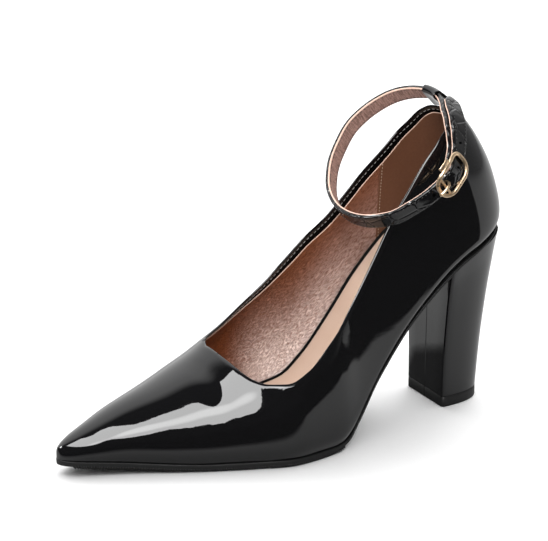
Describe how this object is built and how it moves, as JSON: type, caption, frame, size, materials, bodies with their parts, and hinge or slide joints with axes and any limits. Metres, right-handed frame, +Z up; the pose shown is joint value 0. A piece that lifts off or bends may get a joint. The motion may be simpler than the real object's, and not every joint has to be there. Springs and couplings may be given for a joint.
{
  "type": "block heel court shoe with ankle strap",
  "caption": "Left court shoe with a pointed toe, a covered block heel, a thin sole and a buckled ankle strap that runs through a loop at the back.",
  "frame": {"origin": "middle of the shoe's outline, on the floor it stands on", "axes": "+Z up, toe toward -Y, heel toward +Y, outer side with the buckle toward +X"},
  "size_m": [0.0806, 0.2262, 0.1523],
  "materials": {
    "patent_leather": "black, high-gloss patent",
    "sole_rubber": "black, matt, moulded",
    "insole_leather": "beige, soft satin",
    "buckle_metal": "pale gold plating, polished"
  },
  "bodies": {
    "root": {"upper": "patent_leather", "outsole": "sole_rubber", "insole": "insole_leather", "heel": "patent_leather", "top_lift": "sole_rubber", "ankle_strap": "patent_leather", "back_loop": "patent_leather", "buckle_frame": "buckle_metal", "buckle_bar": "buckle_metal", "buckle_prong": "buckle_metal"}
  },
  "joints": []
}
